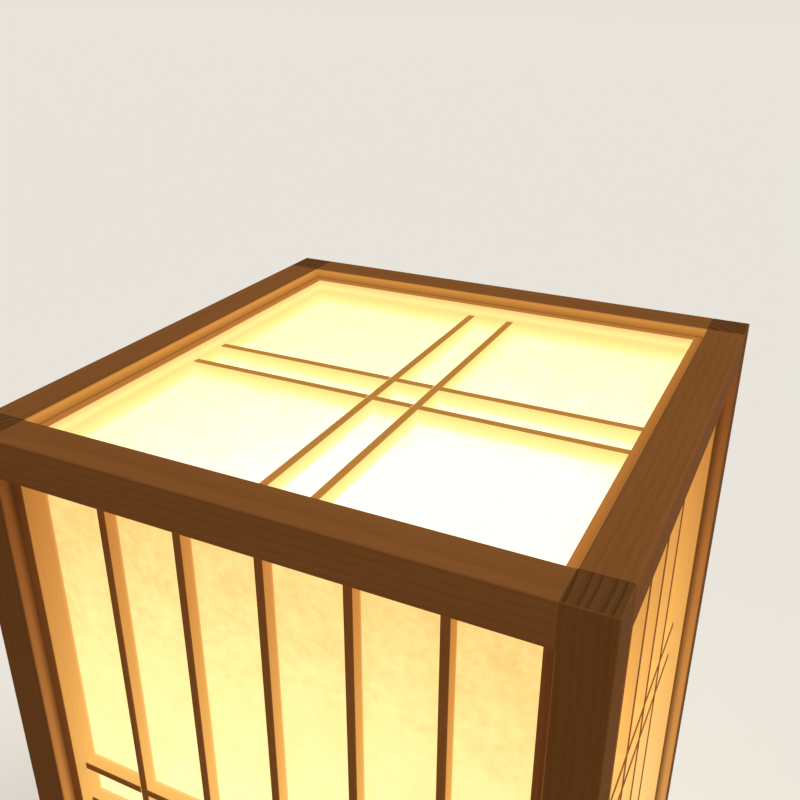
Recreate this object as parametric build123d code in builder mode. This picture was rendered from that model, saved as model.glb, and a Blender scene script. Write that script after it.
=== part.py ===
from build123d import *
import os
from math import cos, radians, sin, sqrt, tan

# Andon floor lamp: a square box of four posts and eight rails in planed softwood, with a washi
# panel behind a kumiko lattice in each side and a fifth panel that drops into the top.  A board
# across the open bottom carries a screw-base lampholder and its bulb.
#
# Origin on the floor under the middle of the lamp, +Z up, front towards -Y.  Millimetres.

# ---------------------------------------------------------------- overall size
body_width = 260.0            # across the outside of the posts, both ways
body_height = 568.0           # floor to the top of the posts

# ---------------------------------------------------------------- posts and rails
post_side = 18.0
top_rail_height = 17.6
bottom_rail_height = 18.0
bottom_rail_lift = 14.0       # floor to the underside of the bottom rails
frame_arris = 0.4             # chamfer on the long edges of posts and rails
tenon_thickness = 6.0
tenon_top_shoulder = 6.0      # rail above its tenon, so that the end grain of the post stays whole
tenon_bottom_shoulder = 2.0
joint_gap = 0.05              # room for glue round every hidden tongue and tenon
pad_diameter = 14.0
pad_thickness = 2.0

# ---------------------------------------------------------------- side panels
subframe_width = 5.0          # thin frame glued inside each opening, seen from the front
subframe_inset = 5.8          # face of the posts to the face of the thin frame
kumiko_width = 3.7
kumiko_inset = 11.5           # face of the posts to the face of the lattice
stick_arris = 0.3             # chamfer on the long edges of the thin sticks
upright_count = 5
crossbar_pairs = 2
pair_spacing = 22.2           # centre to centre of the two bars of a pair
housing_depth = 2.4           # how far a stick's end is let into the stick it meets
tongue_thickness = 4.0
paper_thickness = 0.3
paper_margin = 1.5            # edge of the paper to the edge of the opening

# ---------------------------------------------------------------- lift-out top panel
lid_inset = 4.4               # top of the posts to the top of the panel's frame
lid_kumiko_inset = 11.1
lid_depth = 18.2              # top of the posts to the underside of the panel's sticks
lid_side_gap = 0.4            # all round, so that the panel lifts out by hand
lid_seat_gap = 0.1
ledge_setback = 0.2           # ledge kept back from the inner edge of the panel's frame

# ---------------------------------------------------------------- lampholder board
board_width = 70.0
board_thickness = 9.0
board_end_gap = 0.5
cleat_width = 10.0
cleat_height = 8.0
cleat_length = 64.0
screw_head_diameter = 7.0
screw_head_angle = 90.0       # of the countersink
screw_shank_diameter = 3.4
board_screw_bite = 6.0        # how far each screw goes into the wood under the piece it holds
holder_screw_bite = 7.0
board_screw_spacing = 44.0
slot_width = 1.0              # cross recess in the screw heads
slot_depth = 0.9
fastener_gap = 0.05           # round the shank of every screw and rivet
grommet_bore_diameter = 6.8
grommet_waist_diameter = 10.0
grommet_flange_diameter = 14.0
grommet_flange = 1.5
grommet_chamfer = 0.5

# ---------------------------------------------------------------- lampholder
flange_width = 11.0           # flange beyond the barrel, with the fixing screws in its middle
flange_thickness = 7.0
barrel_wall = 3.0             # round the wiring chamber under the lampholder's floor
chamber_gap = 1.0             # from the end of the longer terminal plate to the chamber's wall
chamber_height = 9.0
socket_floor = 7.0
rim_cover = 2.5               # barrel above the last ring of its thread
moulded_radius = 1.5
sheet_brass = 0.5
contact_rise = 5.0            # floor of the socket to the raised end of the spring contact
contact_width = 6.0
shell_ring_width = 3.0        # flat ring that the threaded shell stands on
contact_rivet_offset = 7.0
rivet_diameter = 1.6
rivet_head_diameter = 2.6
rivet_head = 0.6
terminal_thickness = 0.8
terminal_width = 8.0
terminal_overhang = 3.0
terminal_screw_diameter = 3.0
terminal_screw_head = 5.0
terminal_screw_spacing = 6.0  # from each rivet to the terminal screw beside it
terminal_screw_length = 5.0
terminal_head_height = 1.8

# ---------------------------------------------------------------- bulb
thread_mid_radius = 12.65
thread_depth = 0.5
thread_pitch = 3.6
thread_rings = 4
thread_gap = 0.3
shell_side_gap = 0.15
cap_wall = 0.4
cap_collar = 5.0
tip_gap = 0.2
tip_radius = 4.5
tip_height = 1.6
insulator_height = 6.4
bulb_radius = 30.0
bulb_length = 108.0
bulb_wall = 1.6
neck_gap = 0.15               # housing's neck to the inside of the cap, and board to housing
funnel_foot_lean = 0.35       # sideways for each millimetre up, where the funnel leaves the cap
funnel_rim_lean = 0.1         # and where it meets the globe
led_board_thickness = 1.6
led_board_drop = 3.0          # rim of the housing to the face of the board
shelf_width = 4.0
led_count = 10
led_size = 3.0
led_height = 0.7
led_ring_radius = 15.0
driver_width = 14.0
driver_height = 22.0
driver_thickness = 1.2
capacitor_diameter = 8.0
capacitor_height = 11.0
capacitor_seat = 0.3          # how far the capacitor's side is let into the board

# ---------------------------------------------------------------- places that follow from these
half_width = body_width / 2
opening_half = half_width - post_side
post_centre = half_width - post_side / 2
top_rail_bottom = body_height - top_rail_height
bottom_rail_top = bottom_rail_lift + bottom_rail_height
opening_height = top_rail_bottom - bottom_rail_top

subframe_depth = post_side - subframe_inset
kumiko_depth = post_side - kumiko_inset
lattice_half = opening_half - subframe_width
lattice_bottom = bottom_rail_top + subframe_width
lattice_top = top_rail_bottom - subframe_width

upright_gap = (2 * lattice_half - upright_count * kumiko_width) / (upright_count + 1)
upright_pitch = upright_gap + kumiko_width
upright_xs = [(n - (upright_count - 1) / 2) * upright_pitch for n in range(upright_count)]

pair_height = pair_spacing + kumiko_width
bay_height = (lattice_top - lattice_bottom - crossbar_pairs * pair_height) / (crossbar_pairs + 1)
pair_bottoms = [lattice_bottom + bay_height + n * (bay_height + pair_height)
                for n in range(crossbar_pairs)]
crossbar_zs = [bottom + kumiko_width / 2 + step * pair_spacing
               for bottom in pair_bottoms for step in (0, 1)]

lid_half = opening_half - lid_side_gap
lid_stick_width = lid_half - lattice_half
lid_bottom = body_height - lid_depth
lid_frame_height = lid_depth - lid_inset
lid_kumiko_height = lid_depth - lid_kumiko_inset
lid_pair = (-pair_spacing / 2, pair_spacing / 2)
ledge_top = lid_bottom - paper_thickness - lid_seat_gap

board_top = bottom_rail_top
board_bottom = board_top - board_thickness
screw_head_height = ((screw_head_diameter - screw_shank_diameter) / 2
                     / tan(radians(screw_head_angle / 2)))
board_screw_length = board_thickness + board_screw_bite
board_screw_x = opening_half - cleat_width / 2

floor_bottom = board_top + chamber_height
floor_top = floor_bottom + socket_floor
contact_top = floor_top + contact_rise + sheet_brass
tip_bottom = contact_top + tip_gap
insulator_bottom = tip_bottom + tip_height
thread_bottom = insulator_bottom + insulator_height
thread_top = thread_bottom + thread_rings * thread_pitch
cap_top = thread_top + cap_collar
barrel_top = thread_top + rim_cover
shell_mid_radius = thread_mid_radius + thread_gap
shell_outer_radius = shell_mid_radius + sheet_brass + thread_depth
barrel_bore_radius = shell_outer_radius + shell_side_gap
shell_ring_radius = shell_mid_radius - shell_ring_width
shell_rivet_offset = shell_mid_radius - shell_ring_width / 2
terminal_reach = contact_rivet_offset + terminal_screw_spacing + terminal_overhang
chamber_radius = terminal_reach + chamber_gap
barrel_radius = chamber_radius + barrel_wall
flange_radius = barrel_radius + flange_width
holder_screw_x = barrel_radius + flange_width / 2
holder_screw_length = flange_thickness + holder_screw_bite

bulb_top = tip_bottom + bulb_length
rim_radius = bulb_radius - bulb_wall / 2
rim_drop = sqrt(bulb_radius ** 2 - rim_radius ** 2)
globe_centre = bulb_top - bulb_radius
bulb_rim = globe_centre - rim_drop
led_board_top = bulb_rim - led_board_drop
led_board_bottom = led_board_top - led_board_thickness

side_names = ("front", "right", "back", "left")
sides = {name: turn * 360 / len(side_names) for turn, name in enumerate(side_names)}


def save(piece, name):
    """Label a finished piece and write it as its own STEP file."""
    piece.part.label = name
    export_step(piece.part, f"parts/{name}.step")


def side_plan(angle, height):
    """Level plane for one side: local x runs along that side, local y from its face inwards."""
    along = (cos(radians(angle)), sin(radians(angle)), 0)
    return Plane(origin=(0, 0, height), x_dir=along, z_dir=(0, 0, 1))


def side_face(angle, inset):
    """Upright plane at a depth behind one side's face: local x along it, local y up."""
    along = (cos(radians(angle)), sin(radians(angle)), 0)
    outward = Vector(sin(radians(angle)), -cos(radians(angle)), 0)
    return Plane(origin=outward * (half_width - inset), x_dir=along, z_dir=outward)


def side_axis(angle):
    """Axis along one side's rails."""
    return Axis((0, 0, 0), (cos(radians(angle)), sin(radians(angle)), 0))


# ================================================================ frame

def tenon_plan(gap):
    """Plan of one rail's two tenons, each mitred on the diagonal of its post."""
    near = -half_width + (post_side - tenon_thickness) / 2 - gap
    far = near + tenon_thickness + 2 * gap
    with BuildSketch() as plan:
        with BuildLine():
            Polyline((opening_half - gap, near), (-near - joint_gap + gap, near),
                     (-far - joint_gap + gap, far), (opening_half - gap, far), close=True)
        make_face()
        mirror(about=Plane.YZ)
    return plan.sketch


def tenon_levels():
    """Bottom and height of the tenons of the top and of the bottom rails."""
    for bottom, height in ((top_rail_bottom, top_rail_height),
                           (bottom_rail_lift, bottom_rail_height)):
        yield bottom + tenon_bottom_shoulder, height - tenon_bottom_shoulder - tenon_top_shoulder


def make_post(x, y):
    """Square post with chamfered edges and blind mortises for its four tenons."""
    mortises = tenon_plan(joint_gap)
    with BuildPart() as post:
        with BuildSketch(Plane.XY.offset(pad_thickness)):
            with Locations((x, y)):
                Rectangle(post_side, post_side)
        extrude(amount=body_height - pad_thickness)
        chamfer(post.edges(), frame_arris)
        for bottom, height in tenon_levels():
            for angle in sides.values():
                with BuildSketch(side_plan(angle, bottom - joint_gap)):
                    add(mortises)
                extrude(amount=height + 2 * joint_gap, mode=Mode.SUBTRACT)
    return post


def make_rail(angle, bottom, height, tenon_bottom, tenon_height):
    """Rail between two posts, flush with their faces, with a tenon at each end."""
    tenons = tenon_plan(0)
    with BuildPart() as rail:
        with BuildSketch(side_plan(angle, bottom)):
            with Locations((0, -post_centre)):
                Rectangle(2 * opening_half, post_side)
        extrude(amount=height)
        chamfer(rail.edges().filter_by(side_axis(angle)), frame_arris)
        with BuildSketch(side_plan(angle, tenon_bottom)):
            add(tenons)
        extrude(amount=tenon_height)
    return rail


# ================================================================ side panels

def make_side_stiles(angle):
    """Pair of upright thin-frame sticks, housed for the crossbars and slotted for the rails."""
    stile_x = opening_half - subframe_width / 2
    with BuildPart() as stiles:
        with BuildSketch(side_face(angle, subframe_inset)):
            with Locations((-stile_x, bottom_rail_top + opening_height / 2),
                           (stile_x, bottom_rail_top + opening_height / 2)):
                Rectangle(subframe_width, opening_height)
        extrude(amount=-subframe_depth)
        chamfer(stiles.edges().filter_by(Axis.Z), stick_arris)
        reach = 2 * (lattice_half + housing_depth + joint_gap)
        with BuildSketch(side_face(angle, kumiko_inset - joint_gap)):
            for z in crossbar_zs:
                with Locations((0, z)):
                    Rectangle(reach, kumiko_width + 2 * joint_gap)
        extrude(amount=-(kumiko_depth + joint_gap), mode=Mode.SUBTRACT)
        tongue_inset = subframe_inset + (subframe_depth - tongue_thickness) / 2
        with BuildSketch(side_face(angle, tongue_inset - joint_gap)):
            with Locations((0, bottom_rail_top + subframe_width / 2),
                           (0, top_rail_bottom - subframe_width / 2)):
                Rectangle(reach, subframe_width + 2 * joint_gap)
        extrude(amount=-(tongue_thickness + 2 * joint_gap), mode=Mode.SUBTRACT)
    return stiles


def make_side_rails(angle):
    """Pair of level thin-frame sticks between the stiles, with a tongue at each end."""
    rail_zs = (bottom_rail_top + subframe_width / 2, top_rail_bottom - subframe_width / 2)
    with BuildPart() as rails:
        with BuildSketch(side_face(angle, subframe_inset)):
            with Locations(*[(0, z) for z in rail_zs]):
                Rectangle(2 * lattice_half, subframe_width)
        extrude(amount=-subframe_depth)
        chamfer(rails.edges().filter_by(side_axis(angle)), stick_arris)
        with BuildSketch(side_plan(angle, lattice_bottom - housing_depth - joint_gap)):
            for x in upright_xs:
                with Locations((x, -half_width + kumiko_inset + kumiko_depth / 2)):
                    Rectangle(kumiko_width + 2 * joint_gap, kumiko_depth + 2 * joint_gap)
        extrude(amount=lattice_top - lattice_bottom + 2 * (housing_depth + joint_gap),
                mode=Mode.SUBTRACT)
        tongue_inset = subframe_inset + (subframe_depth - tongue_thickness) / 2
        with BuildSketch(side_face(angle, tongue_inset)):
            with Locations(*[(end * (lattice_half + housing_depth / 2), z)
                             for end in (-1, 1) for z in rail_zs]):
                Rectangle(housing_depth, subframe_width - 2 * stick_arris)
        extrude(amount=-tongue_thickness)
    return rails


def make_side_uprights(angle):
    """Upright lattice bars, with the inner half cut away where a crossbar laps behind them."""
    with BuildPart() as uprights:
        with BuildSketch(side_plan(angle, lattice_bottom - housing_depth)):
            with Locations(*[(x, -half_width + kumiko_inset + kumiko_depth / 2)
                             for x in upright_xs]):
                Rectangle(kumiko_width, kumiko_depth)
        extrude(amount=lattice_top - lattice_bottom + 2 * housing_depth)
        chamfer(uprights.edges().filter_by(Axis.Z), stick_arris)
        with BuildSketch(side_face(angle, kumiko_inset + kumiko_depth / 2 - joint_gap)):
            with Locations(*[(0, z) for z in crossbar_zs]):
                Rectangle(2 * lattice_half, kumiko_width + 2 * joint_gap)
        extrude(amount=-(kumiko_depth / 2 + joint_gap), mode=Mode.SUBTRACT)
    return uprights


def make_side_crossbars(angle):
    """Level lattice bars in pairs, with the outer half cut away where an upright laps them."""
    with BuildPart() as crossbars:
        with BuildSketch(side_face(angle, kumiko_inset)):
            with Locations(*[(0, z) for z in crossbar_zs]):
                Rectangle(2 * (lattice_half + housing_depth), kumiko_width)
        extrude(amount=-kumiko_depth)
        chamfer(crossbars.edges().filter_by(side_axis(angle)), stick_arris)
        with BuildSketch(side_face(angle, kumiko_inset)):
            with Locations(*[(x, bottom_rail_top + opening_height / 2) for x in upright_xs]):
                Rectangle(kumiko_width + 2 * joint_gap, opening_height)
        extrude(amount=-(kumiko_depth / 2 + joint_gap), mode=Mode.SUBTRACT)
    return crossbars


def make_side_paper(angle):
    """Washi sheet glued to the inner faces of the lattice and its thin frame."""
    with BuildPart() as paper:
        with BuildSketch(side_face(angle, post_side)):
            with Locations((0, bottom_rail_top + opening_height / 2)):
                Rectangle(2 * (opening_half - paper_margin), opening_height - 2 * paper_margin)
        extrude(amount=-paper_thickness)
    return paper


# ================================================================ lift-out top panel

def lid_tongue_level():
    """Underside of the tongues that join the corners of the top panel's frame."""
    return lid_bottom + (lid_frame_height - tongue_thickness) / 2


def make_lid_stiles():
    """The two sticks of the top panel's frame that run front to back, full length."""
    stick_x = lid_half - lid_stick_width / 2
    with BuildPart() as stiles:
        with BuildSketch(Plane.XY.offset(lid_bottom)):
            with Locations((-stick_x, 0), (stick_x, 0)):
                Rectangle(lid_stick_width, 2 * lid_half)
        extrude(amount=lid_frame_height)
        chamfer(stiles.edges().filter_by(Axis.Y), stick_arris)
        reach = 2 * (lattice_half + housing_depth + joint_gap)
        with BuildSketch(Plane.XY.offset(lid_bottom)):
            with Locations(*[(0, y) for y in lid_pair]):
                Rectangle(reach, kumiko_width + 2 * joint_gap)
        extrude(amount=lid_kumiko_height + joint_gap, mode=Mode.SUBTRACT)
        with BuildSketch(Plane.XY.offset(lid_tongue_level() - joint_gap)):
            with Locations((0, -stick_x), (0, stick_x)):
                Rectangle(reach, lid_stick_width + 2 * joint_gap)
        extrude(amount=tongue_thickness + 2 * joint_gap, mode=Mode.SUBTRACT)
    return stiles


def make_lid_rails():
    """The two sticks of the top panel's frame that run side to side, with a tongue at each end."""
    stick_y = lid_half - lid_stick_width / 2
    with BuildPart() as rails:
        with BuildSketch(Plane.XY.offset(lid_bottom)):
            with Locations((0, -stick_y), (0, stick_y)):
                Rectangle(2 * lattice_half, lid_stick_width)
        extrude(amount=lid_frame_height)
        chamfer(rails.edges().filter_by(Axis.X), stick_arris)
        with BuildSketch(Plane.XY.offset(lid_bottom)):
            with Locations(*[(x, 0) for x in lid_pair]):
                Rectangle(kumiko_width + 2 * joint_gap, 2 * (lattice_half + housing_depth + joint_gap))
        extrude(amount=lid_kumiko_height + joint_gap, mode=Mode.SUBTRACT)
        with BuildSketch(Plane.XY.offset(lid_tongue_level())):
            with Locations(*[(end * (lattice_half + housing_depth / 2), side * stick_y)
                             for end in (-1, 1) for side in (-1, 1)]):
                Rectangle(housing_depth, lid_stick_width - 2 * stick_arris)
        extrude(amount=tongue_thickness)
    return rails


def make_lid_bars(lengthwise):
    """Pair of lattice bars across the top panel; the lengthwise pair laps over the other."""
    length = 2 * (lattice_half + housing_depth)
    crossing = kumiko_width + 2 * joint_gap
    lap_bottom = lid_bottom if lengthwise else lid_bottom + lid_kumiko_height / 2 - joint_gap
    with BuildPart() as bars:
        with BuildSketch(Plane.XY.offset(lid_bottom)):
            for place in lid_pair:
                with Locations((place, 0) if lengthwise else (0, place)):
                    Rectangle(kumiko_width if lengthwise else length,
                              length if lengthwise else kumiko_width)
        extrude(amount=lid_kumiko_height)
        chamfer(bars.edges().filter_by(Axis.Y if lengthwise else Axis.X), stick_arris)
        with BuildSketch(Plane.XY.offset(lap_bottom)):
            for place in lid_pair:
                with Locations((0, place) if lengthwise else (place, 0)):
                    Rectangle(length if lengthwise else crossing,
                              crossing if lengthwise else length)
        extrude(amount=lid_kumiko_height / 2 + joint_gap, mode=Mode.SUBTRACT)
    return bars


def make_lid_paper():
    """Washi sheet under the lattice of the top panel."""
    with BuildPart() as paper:
        with BuildSketch(Plane.XY.offset(lid_bottom - paper_thickness)):
            Rectangle(2 * (lid_half - paper_margin), 2 * (lid_half - paper_margin))
        extrude(amount=paper_thickness)
    return paper


def make_ledges():
    """Four strips behind the heads of the side panels, on which the top panel rests."""
    outer = opening_half - paper_thickness
    inner = lattice_half + ledge_setback
    middle = (outer + inner) / 2
    with BuildPart() as ledges:
        with BuildSketch(Plane.XY.offset(lattice_top)):
            with Locations((0, -middle), (0, middle)):
                Rectangle(2 * (outer - lid_seat_gap), outer - inner)
            with Locations((-middle, 0), (middle, 0)):
                Rectangle(outer - inner, 2 * (inner - joint_gap))
        extrude(amount=ledge_top - lattice_top)
    return ledges


# ================================================================ fasteners

def make_wood_screws(places, head_top, length):
    """Countersunk wood screws with a cross recess, at (x, y) places, heads flush at head_top."""
    with BuildPart() as screws:
        with BuildSketch(Plane.XY.offset(head_top - length)):
            with Locations(*places):
                Circle(screw_shank_diameter / 2)
        extrude(amount=length)
        with Locations(*[(x, y, head_top) for x, y in places]):
            Cone(screw_shank_diameter / 2, screw_head_diameter / 2, screw_head_height,
                 align=(Align.CENTER, Align.CENTER, Align.MAX))
        with BuildSketch(Plane.XY.offset(head_top)):
            with Locations(*places):
                Rectangle(screw_head_diameter / 2, slot_width)
                Rectangle(slot_width, screw_head_diameter / 2)
        extrude(amount=-slot_depth, mode=Mode.SUBTRACT)
    return screws


def drill_countersunk(places, head_top, depth):
    """Cut the clearance holes and countersinks of wood screws at (x, y) places."""
    with Locations(*[(x, y, head_top) for x, y in places]):
        CounterSinkHole(screw_shank_diameter / 2 + fastener_gap,
                        screw_head_diameter / 2 + fastener_gap, depth,
                        counter_sink_angle=screw_head_angle)


# ================================================================ lampholder board

board_screw_places = [(x, y) for x in (-board_screw_x, board_screw_x)
                      for y in (-board_screw_spacing / 2, board_screw_spacing / 2)]
holder_screw_places = [(x, 0) for x in (-holder_screw_x, holder_screw_x)]


def make_board():
    """Board across the bottom, with holes for the grommet and for all screws."""
    with BuildPart() as board:
        with BuildSketch(Plane.XY.offset(board_bottom)):
            Rectangle(2 * (opening_half - board_end_gap), board_width)
            Circle(grommet_waist_diameter / 2 + fastener_gap, mode=Mode.SUBTRACT)
        extrude(amount=board_thickness)
        chamfer(board.edges().filter_by(Axis.X), frame_arris)
        drill_countersunk(board_screw_places, board_top, board_thickness)
        pilot_depth = holder_screw_bite + fastener_gap
        with BuildSketch(Plane.XY.offset(board_top)):
            with Locations(*holder_screw_places):
                Circle(screw_shank_diameter / 2 + fastener_gap)
        extrude(amount=-pilot_depth, mode=Mode.SUBTRACT)
    return board


def make_cleats():
    """Two strips on the left and right bottom rails that carry the board's ends."""
    with BuildPart() as cleats:
        with BuildSketch(Plane.XY.offset(board_bottom - cleat_height)):
            with Locations((-board_screw_x, 0), (board_screw_x, 0)):
                Rectangle(cleat_width, cleat_length)
        extrude(amount=cleat_height)
        pilot_depth = board_screw_bite + fastener_gap
        with BuildSketch(Plane.XY.offset(board_bottom)):
            with Locations(*board_screw_places):
                Circle(screw_shank_diameter / 2 + fastener_gap)
        extrude(amount=-pilot_depth, mode=Mode.SUBTRACT)
    return cleats


def make_grommet():
    """Rubber grommet in the board's middle: two flanges on a waist, round the cord's hole."""
    bore = grommet_bore_diameter / 2
    with BuildPart() as grommet:
        with BuildSketch(Plane.XY.offset(board_bottom - grommet_flange)):
            Circle(grommet_flange_diameter / 2)
        extrude(amount=grommet_flange)
        with BuildSketch(Plane.XY.offset(board_bottom)):
            Circle(grommet_waist_diameter / 2)
        extrude(amount=board_thickness)
        with BuildSketch(Plane.XY.offset(board_top)):
            Circle(grommet_flange_diameter / 2)
        extrude(amount=grommet_flange)
        rims = grommet.edges().filter_by(GeomType.CIRCLE)
        chamfer(rims.group_by(SortBy.RADIUS)[-1].sort_by(Axis.Z)[:1], grommet_chamfer)
        with BuildSketch(Plane.XY.offset(board_bottom - grommet_flange)):
            Circle(bore)
        extrude(amount=board_thickness + 2 * grommet_flange, mode=Mode.SUBTRACT)
    return grommet


# ================================================================ lampholder

rivet_places = [(0, shell_rivet_offset), (0, -contact_rivet_offset)]
terminal_screw_places = [(0, shell_rivet_offset - terminal_screw_spacing),
                         (0, -contact_rivet_offset - terminal_screw_spacing)]


def make_holder_body():
    """Moulded body: flange, barrel, socket above the floor and wiring chamber below it."""
    with BuildPart() as body:
        with BuildSketch(Plane.XY.offset(board_top)):
            Circle(flange_radius)
        extrude(amount=flange_thickness)
        with BuildSketch(Plane.XY.offset(board_top + flange_thickness)):
            Circle(barrel_radius)
        extrude(amount=barrel_top - board_top - flange_thickness)
        rims = body.edges().filter_by(GeomType.CIRCLE).sort_by(Axis.Z)
        fillet(rims[1:], moulded_radius)
        with BuildSketch(Plane.XY.offset(board_top)):
            Circle(chamber_radius)
        extrude(amount=chamber_height, mode=Mode.SUBTRACT)
        with BuildSketch(Plane.XY.offset(floor_top)):
            Circle(barrel_bore_radius)
        extrude(amount=barrel_top - floor_top, mode=Mode.SUBTRACT)
        with BuildSketch(Plane.XY.offset(floor_bottom)):
            with Locations(*rivet_places):
                Circle(rivet_diameter / 2 + fastener_gap)
        extrude(amount=socket_floor, mode=Mode.SUBTRACT)
        with BuildSketch(Plane.XY.offset(floor_bottom)):
            with Locations(*terminal_screw_places):
                Circle(terminal_screw_diameter / 2 + fastener_gap)
        extrude(amount=terminal_screw_length - terminal_thickness + fastener_gap,
                mode=Mode.SUBTRACT)
        drill_countersunk(holder_screw_places, board_top + flange_thickness, flange_thickness)
    return body


def thread_wave(mid_radius):
    """Draw the rounded rings of the thread: a bulge and a hollow in every pitch."""
    for ring in range(thread_rings):
        foot = thread_bottom + ring * thread_pitch
        middle = foot + thread_pitch / 2
        ThreePointArc((mid_radius, foot), (mid_radius + thread_depth, foot + thread_pitch / 4),
                      (mid_radius, middle))
        ThreePointArc((mid_radius, middle),
                      (mid_radius - thread_depth, middle + thread_pitch / 4),
                      (mid_radius, foot + thread_pitch))


def make_holder_shell():
    """Threaded brass shell of the socket, standing on a flat ring that is riveted down."""
    outer_mid = shell_mid_radius + sheet_brass
    with BuildPart() as shell:
        with BuildSketch(Plane.XZ):
            with BuildLine():
                Polyline((shell_mid_radius, thread_bottom), (shell_mid_radius, floor_top + sheet_brass),
                         (shell_ring_radius, floor_top + sheet_brass),
                         (shell_ring_radius, floor_top), (outer_mid, floor_top),
                         (outer_mid, thread_bottom))
                thread_wave(shell_mid_radius)
                thread_wave(outer_mid)
                Line((shell_mid_radius, thread_top), (outer_mid, thread_top))
            make_face()
        revolve(axis=Axis.Z)
        with BuildSketch(Plane.XY.offset(floor_top)):
            with Locations(rivet_places[0]):
                Circle(rivet_diameter / 2 + fastener_gap)
        extrude(amount=sheet_brass, mode=Mode.SUBTRACT)
    return shell


def make_holder_contact():
    """Spring strip riveted at one end and raised under the tip of the bulb."""
    fixed_end = -contact_rivet_offset - rivet_head_diameter / 2
    bend = -contact_rivet_offset + rivet_head_diameter / 2
    raised = floor_top + contact_rise
    with BuildPart() as contact:
        with BuildSketch(Plane.YZ):
            with BuildLine():
                Polyline((fixed_end, floor_top), (bend + sheet_brass, floor_top),
                         (-tip_radius / 2 + sheet_brass, raised), (tip_radius / 2, raised),
                         (tip_radius / 2, raised + sheet_brass), (-tip_radius / 2, raised + sheet_brass),
                         (bend, floor_top + sheet_brass), (fixed_end, floor_top + sheet_brass),
                         close=True)
            make_face()
        extrude(amount=contact_width / 2, both=True)
        with BuildSketch(Plane.XY.offset(floor_top)):
            with Locations(rivet_places[1]):
                Circle(rivet_diameter / 2 + fastener_gap)
        extrude(amount=sheet_brass, mode=Mode.SUBTRACT)
    return contact


def make_rivets():
    """The rivets that hold the shell and the spring strip, each to its terminal below."""
    bottom = floor_bottom - terminal_thickness - rivet_head
    top = floor_top + sheet_brass + rivet_head
    with BuildPart() as rivets:
        with BuildSketch(Plane.XY.offset(bottom)):
            with Locations(*rivet_places):
                Circle(rivet_diameter / 2)
        extrude(amount=top - bottom)
        for head in (bottom, top - rivet_head):
            with BuildSketch(Plane.XY.offset(head)):
                with Locations(*rivet_places):
                    Circle(rivet_head_diameter / 2)
            extrude(amount=rivet_head)
    return rivets


def make_terminals():
    """Brass plates under the floor, from each rivet to the terminal screw beside it."""
    with BuildPart() as plates:
        for rivet, screw in zip(rivet_places, terminal_screw_places):
            middle = (rivet[1] + screw[1]) / 2
            with BuildSketch(Plane.XY.offset(floor_bottom)):
                with Locations((0, middle)):
                    Rectangle(terminal_width, terminal_screw_spacing + 2 * terminal_overhang)
                with Locations(rivet):
                    Circle(rivet_diameter / 2 + fastener_gap, mode=Mode.SUBTRACT)
                with Locations(screw):
                    Circle(terminal_screw_diameter / 2 + fastener_gap, mode=Mode.SUBTRACT)
            extrude(amount=-terminal_thickness)
    return plates


def make_terminal_screws():
    """Pan-head screws that clamp the wires to the plates, heads down."""
    head_top = floor_bottom - terminal_thickness
    with BuildPart() as screws:
        with BuildSketch(Plane.XY.offset(head_top)):
            with Locations(*terminal_screw_places):
                Circle(terminal_screw_diameter / 2)
        extrude(amount=terminal_screw_length)
        with BuildSketch(Plane.XY.offset(head_top)):
            with Locations(*terminal_screw_places):
                Circle(terminal_screw_head / 2)
        extrude(amount=-terminal_head_height)
        with BuildSketch(Plane.XY.offset(head_top - terminal_head_height)):
            with Locations(*terminal_screw_places):
                Rectangle(terminal_screw_head, slot_width)
        extrude(amount=slot_depth, mode=Mode.SUBTRACT)
    return screws


# ================================================================ bulb

def make_bulb_cap():
    """Screw cap of the bulb: a thin threaded shell with a plain collar."""
    inner_mid = thread_mid_radius - cap_wall
    with BuildPart() as cap:
        with BuildSketch(Plane.XZ):
            with BuildLine():
                Line((inner_mid, thread_bottom), (thread_mid_radius, thread_bottom))
                thread_wave(thread_mid_radius)
                thread_wave(inner_mid)
                Polyline((thread_mid_radius, thread_top), (thread_mid_radius, cap_top),
                         (inner_mid, cap_top), (inner_mid, thread_top))
            make_face()
        revolve(axis=Axis.Z)
    return cap


def make_bulb_insulator():
    """Insulating cone between the screw cap and the tip."""
    with BuildPart() as insulator:
        with BuildSketch(Plane.XZ):
            with BuildLine():
                Polyline((0, insulator_bottom), (tip_radius, insulator_bottom),
                         (thread_mid_radius - thread_depth, thread_bottom), (0, thread_bottom),
                         close=True)
            make_face()
        revolve(axis=Axis.Z)
    return insulator


def make_bulb_tip():
    """Domed contact at the bottom of the bulb."""
    with BuildPart() as tip:
        with BuildSketch(Plane.XZ):
            with BuildLine():
                Polyline((0, tip_bottom), (0, insulator_bottom), (tip_radius, insulator_bottom))
                TangentArc((0, tip_bottom), (tip_radius, insulator_bottom), tangent=(1, 0))
            make_face()
        revolve(axis=Axis.Z)
    return tip


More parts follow.
